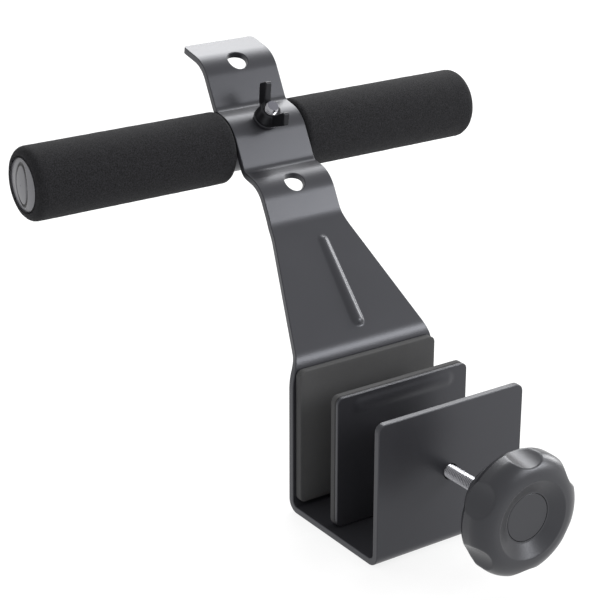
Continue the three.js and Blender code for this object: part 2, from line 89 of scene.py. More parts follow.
def soft_box(name, azimuth, elevation, distance, size, watts):
    """A rectangular area light that faces the middle of the part."""
    lamp = bpy.data.lights.new(name, "AREA")
    lamp.shape = "RECTANGLE"
    lamp.size, lamp.size_y = size
    lamp.energy = watts
    away = towards(math.radians(azimuth), math.radians(elevation))
    box = bpy.data.objects.new(name, lamp)
    box.location = CAMERA_AIM + away * distance
    box.rotation_mode = "QUATERNION"
    box.rotation_quaternion = (-away).to_track_quat("-Z", "Y")
    bpy.context.scene.collection.objects.link(box)


away = towards(CAMERA_AZIMUTH, CAMERA_ELEVATION)
camera = bpy.data.objects.new("camera", bpy.data.cameras.new("camera"))
camera.data.lens = LENS
camera.data.clip_start = NEAREST
camera.location = CAMERA_AIM + away * CAMERA_DISTANCE
camera.rotation_mode = "QUATERNION"
camera.rotation_quaternion = (-away).to_track_quat("-Z", "Y")
bpy.context.scene.collection.objects.link(camera)
bpy.context.scene.camera = camera
bpy.context.scene.view_settings.view_transform = "Standard"

world = bpy.data.worlds.new("white_room")
world.use_nodes = True
world.node_tree.nodes["Background"].inputs["Color"].default_value = (1, 1, 1, 1)
world.node_tree.nodes["Background"].inputs["Strength"].default_value = ROOM_LIGHT
bpy.context.scene.world = world
soft_box("key", azimuth=135, elevation=42, distance=1.5, size=(1.1, 0.8), watts=19)
soft_box("front", azimuth=42, elevation=21, distance=1.6, size=(0.8, 0.5), watts=15)
soft_box("side", azimuth=92, elevation=18, distance=1.5, size=(0.5, 0.8), watts=11)

paper = bpy.data.materials.new("paper")
paper.use_nodes = True
paper_shader = paper.node_tree.nodes["Principled BSDF"]
paper_shader.inputs["Base Color"].default_value = PAPER
paper_shader.inputs["Roughness"].default_value = PAPER_ROUGHNESS
paper_shader.inputs["Emission Color"].default_value = (1, 1, 1, 1)
paper_shader.inputs["Emission Strength"].default_value = PAPER_GLOW
bm = bmesh.new()
bmesh.ops.create_grid(bm, x_segments=4, y_segments=4, size=FLOOR_HALF)
bmesh.ops.translate(bm, verts=bm.verts, vec=(0, 0, cad_box[0].z))
floor_mesh = bpy.data.meshes.new("floor")
bm.to_mesh(floor_mesh)
bm.free()
floor_mesh.materials.append(paper)
floor = bpy.data.objects.new("floor", floor_mesh)
bpy.context.scene.collection.objects.link(floor)


# ---- Bracket ----
# One 4 mm steel plate, cut to a wide clamp that tapers to a strap and punched with a hole for
# each seat and for the screw, then bent on a press brake into a U, a sloping panel and three
# stepped seats. A rib is pressed into the panel, and it is powder-coated satin black.

PLATE = 4 * mm
CLAMP_HALF = 50 * mm
STRAP_HALF = 25 * mm
FRONT_WALL = Vector((-72, 40.7)) * mm
BASE_TOP = -41.5 * mm
BACK_WALL_Y = 5 * mm
WALL_BEND = 46.8 * mm
U_BEND = 3.5 * mm
PANEL_FOOT = 16 * mm
PANEL_HEAD = 18 * mm
PANEL_ANGLE = 45.7
PANEL_LENGTH = 83.9 * mm
RISER_ANGLE = 62.5
TREAD_ANGLE = 13
FIRST_RISER = 24.8 * mm
RISER = 29.75 * mm
TREAD = 17.15 * mm
JOGGLE = 5 * mm
LIP = 24.2 * mm
SEAT_RADIUS = 20.3 * mm
GRID_STEP = 0.65 * mm
FINE_ROW = 1.1 * mm
COARSE_ROW = 5 * mm
COARSE_WALL = 60 * mm
BEND_FACET = math.radians(6)
MIDDLE_HALF = 28 * GRID_STEP
OUTER_COLUMNS = 5
SEAT_HOLE = 10 * GRID_STEP
SCREW_HOLE = 7 * GRID_STEP
TAPER_BOTTOM = 38.5 * mm
TAPER_TOP = 105.7 * mm
TAPER_FOOT = 45 * mm
TAPER_HEAD = 35 * mm
WALL_CORNER = 5 * mm
LIP_CORNER = 3 * mm
RIB_SPAN = (16.5 * mm, 69 * mm)
RIB_NOSE = 4.4 * mm
RIB_ASIDE = 3 * mm
RIB_LEAN = 1.6 * mm
RIB_PROUD = 2.4 * mm
RIB_FADE = 1.3 * mm
RIB_BLEND = 0.8 * mm
PLATE_EDGE = 0.55 * mm
COAT_BLACK = (0.0155, 0.0155, 0.0178, 1)
COAT_GREY = (0.0195, 0.0195, 0.0225, 1)


class Wire:
    """A shader socket. Sums on it add Math nodes, and node() adds any other node to its tree."""

    def __init__(self, tree, socket=None):
        self.tree = tree
        self.socket = socket

    def node(self, kind, settings, sockets, output=0):
        made = self.tree.nodes.new("ShaderNode" + kind)
        for name, value in settings.items():
            if name == "stops":
                for stop, (place, grey) in zip(made.color_ramp.elements, value):
                    stop.position, stop.color = place, (grey, grey, grey, 1)
            else:
                setattr(made, name, value)
        for name, value in sockets.items():
            if isinstance(value, Wire):
                self.tree.links.new(value.socket, made.inputs[name])
            else:
                made.inputs[name].default_value = value
        return Wire(self.tree, made.outputs[output])

    def sum(self, operation, first, second):
        return self.node("Math", {"operation": operation}, {0: first, 1: second})

    def __add__(self, other):
        return self.sum("ADD", self, other)

    def __sub__(self, other):
        return self.sum("SUBTRACT", self, other)

    def __rsub__(self, other):
        return self.sum("SUBTRACT", other, self)

    def __mul__(self, other):
        return self.sum("MULTIPLY", self, other)

    __radd__ = __add__
    __rmul__ = __mul__


def new_finish(name, metallic=0.0, specular=0.5):
    """A material, its principled shader and a wire of its Object coordinates."""
    material = bpy.data.materials.new(name)
    material.use_nodes = True
    shader = material.node_tree.nodes["Principled BSDF"]
    shader.inputs["Metallic"].default_value = metallic
    shader.inputs["Specular IOR Level"].default_value = specular
    place = Wire(material.node_tree).node("TexCoord", {}, {}, "Object")
    return material, shader, place


def grain(place, size, detail=2.0, roughness=0.5):
    """Noise from 0 to 1 whose lumps are about that size."""
    sockets = {"Vector": place, "Scale": 1 / size, "Detail": detail, "Roughness": roughness}
    return place.node("TexNoise", {}, sockets)


def tint(amount, dark, light):
    """A colour between two, by an amount from 0 to 1."""
    return amount.node("Mix", {"data_type": "RGBA"}, {0: amount, 6: dark, 7: light}, 2)


def ramp(amount, low, high):
    """0 below low, 1 above high and even between."""
    return amount.node("ValToRGB", {"stops": ((low, 0.0), (high, 1.0))}, {"Fac": amount})


def set_finish(shader, colour, roughness, height, depth):
    """Feeds what varies: the colour, the roughness and a bump of that depth."""
    sockets = {"Strength": 1.0, "Distance": depth, "Height": height}
    bump = height.node("Bump", {}, sockets, "Normal")
    for name, wire in (("Base Color", colour), ("Roughness", roughness), ("Normal", bump)):
        shader.id_data.links.new(wire.socket, shader.inputs[name])


def powder_coat(name, dark, light, specular):
    """Satin black powder coat: an even film with a faint orange peel and a few dust specks."""
    material, shader, place = new_finish(name, specular=specular)
    shader.inputs["Specular Tint"].default_value = (0.9, 0.92, 1, 1)
    peel = grain(place, 1.8 * mm)
    film = grain(place, 0.4 * mm, detail=1.0)
    drift = grain(place, 45 * mm, detail=3.0)
    dust = ramp(grain(place, 2.6 * mm, detail=4.0, roughness=0.7), 0.7, 0.78)
    colour = tint(drift, dark, light)
    roughness = 0.29 + drift * 0.06 + film * 0.03 + dust * 0.12
    set_finish(shader, colour, roughness, peel * 0.75 + film * 0.2 + dust * 0.3, 0.03 * mm)
    return material


def make(name, bm, material):
    """An object at the origin from a bmesh, smooth-shaded, with one material."""
    mesh = bpy.data.meshes.new(name)
    bm.to_mesh(mesh)
    bm.free()
    mesh.shade_smooth()
    mesh.materials.append(material)
    piece = bpy.data.objects.new(name, mesh)
    bpy.context.scene.collection.objects.link(piece)
    return piece


def fit(piece, body, node):
    """The piece rides on its body and stands for its CAD node."""
    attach(piece, body)
    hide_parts(node)


def round_edges(piece, width, segments=3):
    """Rounds the sharp edges of a piece and keeps its flat faces flat-shaded."""
    rounding = piece.modifiers.new("edge", "BEVEL")
    rounding.width = width
    rounding.segments = segments
    rounding.limit_method = "ANGLE"
    rounding.angle_limit = math.radians(60)
    rounding.harden_normals = True


def thicken(piece, thickness):
    """Gives a sheet its thickness, behind its face."""
    solid = piece.modifiers.new("thickness", "SOLIDIFY")
    solid.thickness = thickness
    solid.use_even_offset = True
    solid.use_quality_normals = True


def folded(start, heading, legs):
    """A bent line as stretches of (distance, y, z, heading, curvature), and each bend's middle.

    The legs are (length, turn in degrees, bend radius); the radius rounds the leg's end."""
    stretches, middles = [], []
    y, z = start
    angle = math.radians(heading)
    distance, used = 0.0, 0.0
    for length, turn, radius in legs:
        sweep = math.radians(turn)
        tangent = radius * math.tan(abs(sweep) / 2)
        stretches.append((distance, y, z, angle, 0.0))
        straight = length - used - tangent
        y += straight * math.cos(angle)
        z += straight * math.sin(angle)
        distance += straight
        used = tangent
        if turn:
            curvature = math.copysign(1 / radius, turn)
            stretches.append((distance, y, z, angle, curvature))
            middles.append(distance + abs(sweep) * radius / 2)
            y += (math.sin(angle + sweep) - math.sin(angle)) / curvature
            z -= (math.cos(angle + sweep) - math.cos(angle)) / curvature
            distance += abs(sweep) * radius
            angle += sweep
    stretches.append((distance, y, z, angle, 0.0))
    return stretches, middles


def along(stretches, distance):
    """The (y, z) point and the heading at a distance along a bent line."""
    start, y, z, angle, curvature = [s for s in stretches if s[0] <= distance + 1e-9][-1]
    run = distance - start
    if not curvature:
        return Vector((y + run * math.cos(angle), z + run * math.sin(angle))), angle
    end = angle + curvature * run
    y += (math.sin(end) - math.sin(angle)) / curvature
    z -= (math.cos(end) - math.cos(angle)) / curvature
    return Vector((y, z)), end


def spaced(stops, step):
    """Even steps between fixed stops, ends included; step is a length or a function of place."""
    stops = sorted(stops)
    places = [stops[0]]
    for low, high in zip(stops, stops[1:]):
        if high - low < 1e-6:
            continue
        size = step((low + high) / 2) if callable(step) else step
        count = max(1, math.ceil((high - low) / size - 1e-6))
        places += [low + (high - low) * (i + 1) / count for i in range(count)]
    return places


def sheared_grid(columns, rows):
    """A flat grid with X at the columns and Y at the rows."""
    bm = bmesh.new()
    bmesh.ops.create_grid(bm, x_segments=len(columns) - 1, y_segments=len(rows) - 1, size=1)
    for v in bm.verts:
        column = round((v.co.x + 1) / 2 * (len(columns) - 1))
        row = round((v.co.y + 1) / 2 * (len(rows) - 1))
        v.co = (columns[column], rows[row], 0)
    return bm


def punch(bm, holes):
    """Takes a square of faces out of a sheet at each (x, y, radius) and draws it round."""
    inside = []
    for face in bm.faces:
        middle = face.calc_center_median()
        if any(max(abs(middle.x - x), abs(middle.y - y)) < r for x, y, r in holes):
            inside.append(face)
    bmesh.ops.delete(bm, geom=inside, context="FACES")
    for v in bm.verts:
        for x, y, radius in holes:
            offset = v.co.xy - Vector((x, y))
            square = max(abs(offset.x), abs(offset.y))
            if radius * 0.999 <= square < 2 * radius:
                fade = (square - radius) / radius
                offset *= (1 - fade) * square / offset.length + fade
                v.co.xy = offset + Vector((x, y))


def rounded_corner(x, y, half, low, high, radius):
    """Moves a point near a sheet's corner so that the square corner becomes an arc."""
    a = abs(x) - (half - radius)
    b = max(low + radius - y, y - (high - radius))
    if a <= 0 or b <= 0:
        return x, y
    squeeze = max(a, b) / math.hypot(a, b)
    middle_y = low + radius if y < low + radius else high - radius
    x = math.copysign(half - radius + a * squeeze, x)
    return x, middle_y + math.copysign(b * squeeze, y - middle_y)


def pressed(offset, nose, proud, blend):
    """How far a round-nosed punch raises a sheet at that offset from its line."""
    rise = math.sqrt(max(nose**2 - offset**2, 0)) - (nose - proud)
    return max(rise, 0) + max(blend - abs(rise), 0) ** 2 / (4 * blend)


def plate_half_width(z):
    """The plate's half width at a height, from the clamp's up the taper to the strap's."""
    slope = (CLAMP_HALF - STRAP_HALF) / (TAPER_TOP - TAPER_BOTTOM)
    lean = math.atan(slope)
    foot_start = TAPER_BOTTOM - TAPER_FOOT * math.tan(lean / 2)
    head_end = TAPER_TOP + TAPER_HEAD * math.tan(lean / 2)
    if z <= foot_start:
        return CLAMP_HALF
    if z >= head_end:
        return STRAP_HALF
    if z < foot_start + TAPER_FOOT * math.sin(lean):
        return CLAMP_HALF - TAPER_FOOT + math.sqrt(TAPER_FOOT**2 - (z - foot_start) ** 2)
    if z > head_end - TAPER_HEAD * math.sin(lean):
        return STRAP_HALF + TAPER_HEAD - math.sqrt(TAPER_HEAD**2 - (head_end - z) ** 2)
    return CLAMP_HALF - (z - TAPER_BOTTOM) * slope


def spread(column, half):
    """A column's place across the plate: fixed near the middle and at the edge, even between."""
    x = abs(column)
    edge = CLAMP_HALF - WALL_CORNER
    if x <= MIDDLE_HALF:
        return column
    if x >= edge:
        return math.copysign(half - (CLAMP_HALF - x), column)
    share = (x - MIDDLE_HALF) / (edge - MIDDLE_HALF)
    return math.copysign(MIDDLE_HALF + share * (half - WALL_CORNER - MIDDLE_HALF), column)


seat_turn = RISER_ANGLE - TREAD_ANGLE
legs = [
    (FRONT_WALL.y - BASE_TOP, 90, U_BEND),
    (BACK_WALL_Y - FRONT_WALL.x, 90, U_BEND),
    (WALL_BEND - BASE_TOP, PANEL_ANGLE - 90, PANEL_FOOT),
    (PANEL_LENGTH, RISER_ANGLE - PANEL_ANGLE, PANEL_HEAD),
    (FIRST_RISER, -seat_turn, SEAT_RADIUS),
    (TREAD, seat_turn, JOGGLE),
    (RISER, -seat_turn, SEAT_RADIUS),
    (TREAD, seat_turn, JOGGLE),
    (RISER, -seat_turn, SEAT_RADIUS),
    (LIP, 0, 0),
]
bent_line, bend_middles = folded(FRONT_WALL, -90, legs)
plate_length = bent_line[-1][0]
back_wall_start = bent_line[4][0]
fine_start = back_wall_start + COARSE_WALL
panel_start = bent_line[6][0] - PANEL_FOOT * math.tan(math.radians(90 - PANEL_ANGLE) / 2)
rib_low, rib_high = (panel_start + end for end in RIB_SPAN)
screw_at = FRONT_WALL.y
holes = [(0, middle, SEAT_HOLE) for middle in bend_middles[4::2]] + [(0, screw_at, SCREW_HOLE)]


def row_step(distance):
    """Rows close together round bends, holes and up the taper, wide apart on plain walls."""
    curvature = [s for s in bent_line if s[0] <= distance][-1][4]
    plain = FINE_ROW if distance > fine_start else COARSE_ROW
    if abs(distance - screw_at) < 2 * SCREW_HOLE:
        plain = GRID_STEP
    return min(plain, BEND_FACET / abs(curvature)) if curvature else plain


end_steps = [0, 0.8 * mm, 1.6 * mm, 2.5 * mm, 3.6 * mm, WALL_CORNER]
stops = [s[0] for s in bent_line] + end_steps + [plate_length - e for e in end_steps]
stops += [y + side * r for x, y, r in holes for side in (-1, 0, 1)]
stops += [screw_at - 2 * SCREW_HOLE, screw_at + 2 * SCREW_HOLE]
stops += [fine_start, rib_low, rib_high]
inner = spaced([-MIDDLE_HALF, 0, MIDDLE_HALF], GRID_STEP)
outer_width = CLAMP_HALF - WALL_CORNER - MIDDLE_HALF
outer = [MIDDLE_HALF + outer_width * k / OUTER_COLUMNS for k in range(1, OUTER_COLUMNS)]
outer += [CLAMP_HALF - e for e in reversed(end_steps)]
columns = [-x for x in reversed(outer)] + inner + outer

bm = sheared_grid(columns, spaced(stops, row_step))
punch(bm, holes)
for v in bm.verts:
    x, distance = v.co.xy
    wide = distance < back_wall_start
    half = CLAMP_HALF if wide else plate_half_width(along(bent_line, distance)[0].y)
    corner = WALL_CORNER if wide else LIP_CORNER
    x, distance = rounded_corner(spread(x, half), distance, half, 0, plate_length, corner)
    up = min(max((distance - rib_low) / (rib_high - rib_low), 0), 1)
    aside = x - RIB_ASIDE - RIB_LEAN * up
    beyond = distance - rib_low - up * (rib_high - rib_low)
    rib = pressed(math.hypot(aside, beyond), RIB_NOSE, RIB_PROUD - RIB_FADE * up, RIB_BLEND)
    (y, z), heading = along(bent_line, distance)
    v.co = (x, y - rib * math.sin(heading), z + rib * math.cos(heading))
black_coat = powder_coat("powder_coat", COAT_BLACK, COAT_GREY, specular=0.5)
bracket = make("bent_bracket", bm, black_coat)
thicken(bracket, PLATE)
round_edges(bracket, PLATE_EDGE)
fit(bracket, "bracket", "bracket")


# ---- Weld nut ----
# A square M8 nut on the inside of the front wall, in line with the screw's hole. It is welded
# on at its corners before the bracket is coated, so it wears the same black film.

NUT_STEP = 0.43 * mm
NUT_HOLE = 10 * NUT_STEP
NUT_EDGE = 0.5 * mm


def facing_front(y):
    """Lays a flat sheet upright, its face to the front at that depth."""
    return Matrix.Translation((0, y, 0)) @ Matrix.Rotation(math.radians(90), 4, "X")


def slab(bm, thickness):
    """Makes a flat sheet a closed slab, with its first face kept at the top."""
    lid = bm.faces[:]
    walls = bmesh.ops.extrude_face_region(bm, geom=lid, use_keep_orig=True)["geom"]
    moved = [g for g in walls if isinstance(g, bmesh.types.BMVert)]
    bmesh.ops.translate(bm, verts=moved, vec=(0, 0, -thickness))
    bmesh.ops.recalc_face_normals(bm, faces=bm.faces)


low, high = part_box("weld_nut")
nut_columns = spaced([low.x, -NUT_HOLE, 0, NUT_HOLE, high.x], NUT_STEP)
bm = sheared_grid(nut_columns, nut_columns)
punch(bm, [(0, 0, NUT_HOLE)])
slab(bm, high.y - low.y)
bmesh.ops.transform(bm, matrix=facing_front(low.y), verts=bm.verts)
nut = make("square_weld_nut", bm, black_coat)
round_edges(nut, NUT_EDGE)
fit(nut, "bracket", "weld_nut")


# ---- Pads ----
# Sheets of closed-cell foam rubber, one glued inside the back wall and one on the pressure
# plate. They are die-cut, so their faces are a little crowned at the cut edge, and matt.

PAD_GREY = (0.036, 0.036, 0.037, 1)
PAD_PALE = (0.06, 0.06, 0.061, 1)
PAD_STEP = 1.6 * mm
PAD_CORNER = 4 * mm
CORNER_STEPS = [0, 0.7 * mm, 1.4 * mm, 2.2 * mm, 3 * mm, PAD_CORNER]
PAD_EDGE = 0.6 * mm
GLUE_REACH = 0.25 * mm
FACE_DROP = 0.1 * mm
FACE_WAVE = 0.12 * mm
WAVES_PER_METRE = 70
CUT_DROP = 0.3 * mm
CUT_REACH = 1.2 * mm


def foam_rubber():
    """Dark grey foam rubber: fine closed cells, with soft uneven patches."""
    material, shader, place = new_finish("foam_rubber", specular=0.35)
    cells = grain(place, 0.5 * mm, detail=3.0, roughness=0.65)
    patches = grain(place, 14 * mm, detail=4.0, roughness=0.6)
    colour = tint(cells * 0.6 + patches * 0.4, PAD_GREY, PAD_PALE)
    set_finish(shader, colour, 0.82 + cells * 0.12, cells * 0.8 + patches * 0.4, 0.12 * mm)
    return material


def make_pad(name, node, material):
    """A die-cut foam sheet in the place of its node, reaching back to what it is glued on."""
    low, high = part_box(node)
    across = [low.x + e for e in CORNER_STEPS] + [0] + [high.x - e for e in CORNER_STEPS]
    upward = [low.z + e for e in CORNER_STEPS] + [0] + [high.z - e for e in CORNER_STEPS]
    bm = sheared_grid(spaced(across, PAD_STEP), spaced(upward, PAD_STEP))
    for v in bm.verts:
        v.co.xy = rounded_corner(v.co.x, v.co.y, high.x, low.z, high.z, PAD_CORNER)
    slab(bm, high.y - low.y + GLUE_REACH)
    for v in bm.verts:
        if abs(v.co.z) < 1e-6:
            inward = max(min(high.x - abs(v.co.x), v.co.y - low.z, high.z - v.co.y), 0)
            wave = noise.noise(v.co * WAVES_PER_METRE) * FACE_WAVE
            v.co.z += wave - CUT_DROP * math.exp(-inward / CUT_REACH) - FACE_DROP
    bmesh.ops.transform(bm, matrix=facing_front(low.y), verts=bm.verts)
    pad = make(name, bm, material)
    round_edges(pad, PAD_EDGE)
    return pad


rubber = foam_rubber()
back_pad = make_pad("back_foam_pad", "back_pad", rubber)
fit(back_pad, "bracket", "back_pad")
front_pad = make_pad("pressure_foam_pad", "pressure_pad", rubber)
fit(front_pad, "pressure_foot", "pressure_pad")


# ---- Pressure plate ----
# A flat steel plate that the screw pushes against the door. A long round-ended boss is pressed
# forward near its top edge to stiffen it, and the screw's tip turns in the hole at its middle.

PLATE_SHEET = 2.3 * mm
TIP_HOLE = 5 * GRID_STEP
BOSS_HALF = 31 * mm
BOSS_BELOW_TOP = 7 * mm
BOSS_NOSE = 12 * mm
BOSS_PROUD = 0.8 * mm
BOSS_BLEND = 0.5 * mm
BOSS_MARGIN = 8 * mm
SHEET_EDGE = 0.5 * mm

low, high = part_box("pressure_plate")
boss_z = high.z - BOSS_BELOW_TOP
face_y = high.y - PLATE_SHEET
across = [low.x + e for e in CORNER_STEPS] + [high.x - e for e in CORNER_STEPS]
across += [side * reach for side in (-1, 1) for reach in (TIP_HOLE, 2 * TIP_HOLE, BOSS_HALF)]
upward = [low.z + e for e in CORNER_STEPS] + [high.z - e for e in CORNER_STEPS]
upward += [side * TIP_HOLE for side in (-2, -1, 1, 2)] + [boss_z - BOSS_MARGIN, boss_z]


def plate_step(place):
    """Fine rows and columns round the hole, coarser ones beyond it."""
    return GRID_STEP if abs(place) < 2 * TIP_HOLE else FINE_ROW


bm = sheared_grid(spaced(across, plate_step), spaced(upward, plate_step))
punch(bm, [(0, 0, TIP_HOLE)])
for v in bm.verts:
    x, z = rounded_corner(v.co.x, v.co.y, high.x, low.z, high.z, PAD_CORNER)
    off = math.hypot(max(abs(x) - BOSS_HALF, 0), z - boss_z)
    v.co = (x, z, pressed(off, BOSS_NOSE, BOSS_PROUD, BOSS_BLEND))
bmesh.ops.transform(bm, matrix=facing_front(face_y), verts=bm.verts)
plate = make("pressed_plate", bm, black_coat)
thicken(plate, PLATE_SHEET)
round_edges(plate, SHEET_EDGE)
fit(plate, "pressure_foot", "pressure_plate")


# ---- Clamp screw, thrust washer and retaining clip ----
# An M8 screw in bright zinc plate, with a rolled thread. Its shoulder pushes the plate through
# a hard washer, and a spring clip on its turned-down tip pulls the plate back when it opens.

M8 = 4 * mm
PITCH = 1.25 * mm
THREAD_DEPTH = 0.767 * mm
THREAD_STEPS = 36
ROWS_PER_TURN = 8
SCREW_HEAD = 5.3 * mm
PLAIN_NECK = 2 * mm
SHOULDER = 1 * mm
SHOULDER_GAP = 0.3 * mm
TIP_RADIUS = 3 * mm
WASHER_BORE = 3.3 * mm
CLIP_BORE = 3.15 * mm
RING_STEPS = 64
ZINC = (0.27, 0.27, 0.29, 1)
ZINC_PALE = (0.38, 0.38, 0.4, 1)
# Painted shade: a darker colour for the bolt's end face, standing in for its darker reflection.
END_PAINTED_SHADE = (0.1, 0.1, 0.115, 1)


def bright_zinc(name, axis=Vector((0, 0, 1)), end=1.0):
    """Bright zinc plate, polished and faintly clouded. Past the end along the axis: rough, painted
    shade.
    """
    material, shader, place = new_finish(name, metallic=1.0)
    clouds = grain(place, 3 * mm, detail=4.0)
    rubs = grain(place, 0.3 * mm, detail=2.0)
    reach = place.node("VectorMath", {"operation": "DOT_PRODUCT"}, {0: place, 1: axis}, "Value")
    # Past the end, the roughness rises and painted shade darkens the colour.
    dull_end_and_painted_shade = reach.sum("GREATER_THAN", reach, end)
    colour = tint(dull_end_and_painted_shade, tint(clouds, ZINC, ZINC_PALE), END_PAINTED_SHADE)
    roughness = 0.16 + clouds * 0.14 + rubs * 0.05 + dull_end_and_painted_shade * 0.2
    set_finish(shader, colour, roughness, rubs, 0.01 * mm)
    return material


def filleted(corners):
    """A closed outline through (x, y, radius) corners, each rounded by an arc."""
    points = []
    for i, (x, y, radius) in enumerate(corners):
        here = Vector((x, y))
        if not radius:
            points.append(here)
            continue
        back = (Vector(corners[i - 1][:2]) - here).normalized()
        ahead = (Vector(corners[(i + 1) % len(corners)][:2]) - here).normalized()
        half = back.angle(ahead) / 2
        middle = here + (back + ahead).normalized() * radius / math.sin(half)
        start, end = (here + side * radius / math.tan(half) - middle for side in (back, ahead))
        first = math.atan2(start.y, start.x)
        sweep = (math.atan2(end.y, end.x) - first + math.pi) % (2 * math.pi) - math.pi
        steps = max(3, math.ceil(abs(sweep) / math.radians(20)))
        for k in range(steps + 1):
            angle = first + sweep * k / steps
            points.append(middle + radius * Vector((math.cos(angle), math.sin(angle))))
    return points


def turned(outline, steps, row=None):
    """Spins a closed outline of (radius, height) round the Z axis, in rows of at most that size.

    The long foam sleeves come out of the recalculation facing inwards, so the volume decides."""
    points = []
    for here, ahead in zip(outline, outline[1:] + outline[:1]):
        count = max(1, math.ceil((ahead - here).length / row)) if row else 1
        points += [here.lerp(ahead, k / count) for k in range(count)]
    bm = bmesh.new()
    verts = [bm.verts.new((r, 0, height)) for r, height in points]
    loop = list(zip(verts, verts[1:] + verts[:1]))
    edges = [bm.edges.new(pair) for pair in loop if max(v.co.x for v in pair) > 1e-7]
    bmesh.ops.spin(bm, geom=verts + edges, axis=(0, 0, 1), angle=2 * math.pi, steps=steps,
                   use_merge=True)
    bmesh.ops.remove_doubles(bm, verts=bm.verts, dist=1e-7)
    bmesh.ops.dissolve_degenerate(bm, dist=1e-8, edges=bm.edges)
    bmesh.ops.recalc_face_normals(bm, faces=bm.faces)
    if bm.calc_volume(signed=True) < 0:
        bmesh.ops.reverse_faces(bm, faces=bm.faces)
    return bm


def thread_rows(start, end):
    """Points up the rod's side between two heights, close enough together for its thread."""
    count = math.ceil((end - start) * ROWS_PER_TURN / PITCH)
    return [Vector((M8, start + k * PITCH / ROWS_PER_TURN)) for k in range(1, count)]


def cut_thread(bm, low, high):
    """Sinks a right-hand thread into the rod between two heights, fading out at its ends."""
    for v in bm.verts:
        radius = v.co.xy.length
        if abs(radius - M8) > 1e-6 or not low < v.co.z < high:
            continue
        turn = v.co.z / PITCH - math.atan2(v.co.y, v.co.x) / (2 * math.pi)
        off_crest = abs(turn % 1 - 0.5) * 2
        sunk = min(max((off_crest - 0.12) / 0.7, 0), 1)
        fade = min((v.co.z - low) / PITCH, (high - v.co.z) / PITCH, 1)
        v.co.xy *= 1 - THREAD_DEPTH * sunk * fade / radius


def make_turned(name, bm, place, material):
    """A turned piece laid on its axis, with its broad faces shaded flat."""
    bmesh.ops.transform(bm, matrix=place, verts=bm.verts)
    piece = make(name, bm, material)
    piece.modifiers.new("shading", "WEIGHTED_NORMAL")
    return piece


def ring(inner, outer, low, high, edge):
    """A flat ring's outline, with its edges eased."""
    corners = [(inner, low), (outer, low), (outer, high), (inner, high)]
    return filleted([(r, height, edge) for r, height in corners])


zinc = bright_zinc("bright_zinc")
clamp_axis = Matrix.Rotation(math.radians(-90), 4, "X")
low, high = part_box("clamp_screw")
head_end = low.y + SCREW_HEAD
thread_start = head_end + PLAIN_NECK
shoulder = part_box("thrust_washer")[0].y - SHOULDER_GAP
thread_end = shoulder - SHOULDER
rod = filleted([
    (0, low.y, 0), (high.x, low.y, 0.5 * mm), (high.x, head_end, 0.5 * mm),
    (M8, head_end, 0.3 * mm), (M8, thread_start, 0),
])
rod += thread_rows(thread_start, thread_end)
rod += filleted([
    (M8, thread_end, 0), (M8, shoulder, 0.4 * mm), (TIP_RADIUS, shoulder, 0.1 * mm),
    (TIP_RADIUS, high.y, 0.4 * mm), (0, high.y, 0),
])
bm = turned(rod, THREAD_STEPS)
cut_thread(bm, thread_start, thread_end)
screw = make_turned("threaded_clamp_screw", bm, clamp_axis, zinc)
fit(screw, "screw", "clamp_screw")

low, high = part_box("thrust_washer")
bm = turned(ring(WASHER_BORE, high.x, low.y, high.y, 0.25 * mm), RING_STEPS)
washer = make_turned("hard_thrust_washer", bm, clamp_axis, zinc)
fit(washer, "screw", "thrust_washer")

low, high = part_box("retaining_clip")
bm = turned(ring(CLIP_BORE, high.x, low.y, high.y, 0.3 * mm), RING_STEPS)
clip = make_turned("spring_clip", bm, clamp_axis, zinc)
fit(clip, "screw", "retaining_clip")


# ---- Hand knob and its cap ----
# Moulded black plastic, round the screw's head: a hub, six lobes parted by leaning flutes for
# the fingers, and a dished front. A flat disc snaps into the dish and covers the head.

KNOB_BLACK = (0.012, 0.012, 0.014, 1)
KNOB_GREY = (0.018, 0.018, 0.0205, 1)
LOBES = 6
FLUTE_RADIUS = 20 * mm
FLUTE_FLOOR = 31.6 * mm
FLUTE_LEAN = math.tan(math.radians(10.4))
FLUTE_EDGE = 0.7 * mm
BORE = 4.2 * mm
HUB_RADIUS = 19.8 * mm
SHOULDER_Y = -129 * mm
CROWN_Y = -134 * mm
CROWN_STEPS = 24
RIM_RADIUS = 23 * mm
DISH_Y = -139.95 * mm
RECESS_RADIUS = 13.8 * mm
RECESS_Y = -137.3 * mm
POCKET_RADIUS = 6.8 * mm
POCKET_Y = -131.7 * mm
KNOB_STEPS = 300
DISC_STEPS = 96


def moulded_plastic():
    """Black nylon from a spark-eroded mould: satin, with a fine even texture."""
    material, shader, place = new_finish("moulded_plastic")
    shader.inputs["Specular Tint"].default_value = (0.92, 0.94, 1, 1)
    spark = grain(place, 0.28 * mm, detail=2.0)
    flow = grain(place, 22 * mm, detail=3.0)
    colour = tint(flow * 0.6 + spark * 0.4, KNOB_BLACK, KNOB_GREY)
    set_finish(shader, colour, 0.27 + flow * 0.06 + spark * 0.06, spark, 0.02 * mm)
    return material


def fluted(radius, angle, y):
    """The knob's radius once the flutes are cut between its lobes, with their edges softened."""
    pitch = 2 * math.pi / LOBES
    off = angle % pitch - pitch / 2
    out = FLUTE_FLOOR + FLUTE_RADIUS + (y - CROWN_Y) * FLUTE_LEAN
    inside = FLUTE_RADIUS**2 - (out * math.sin(off)) ** 2
    if inside <= 0:
        return radius
    cut = out * math.cos(off) - math.sqrt(inside)
    overlap = max(FLUTE_EDGE - abs(radius - cut), 0)
    return min(radius, cut) - overlap**2 / (4 * FLUTE_EDGE)


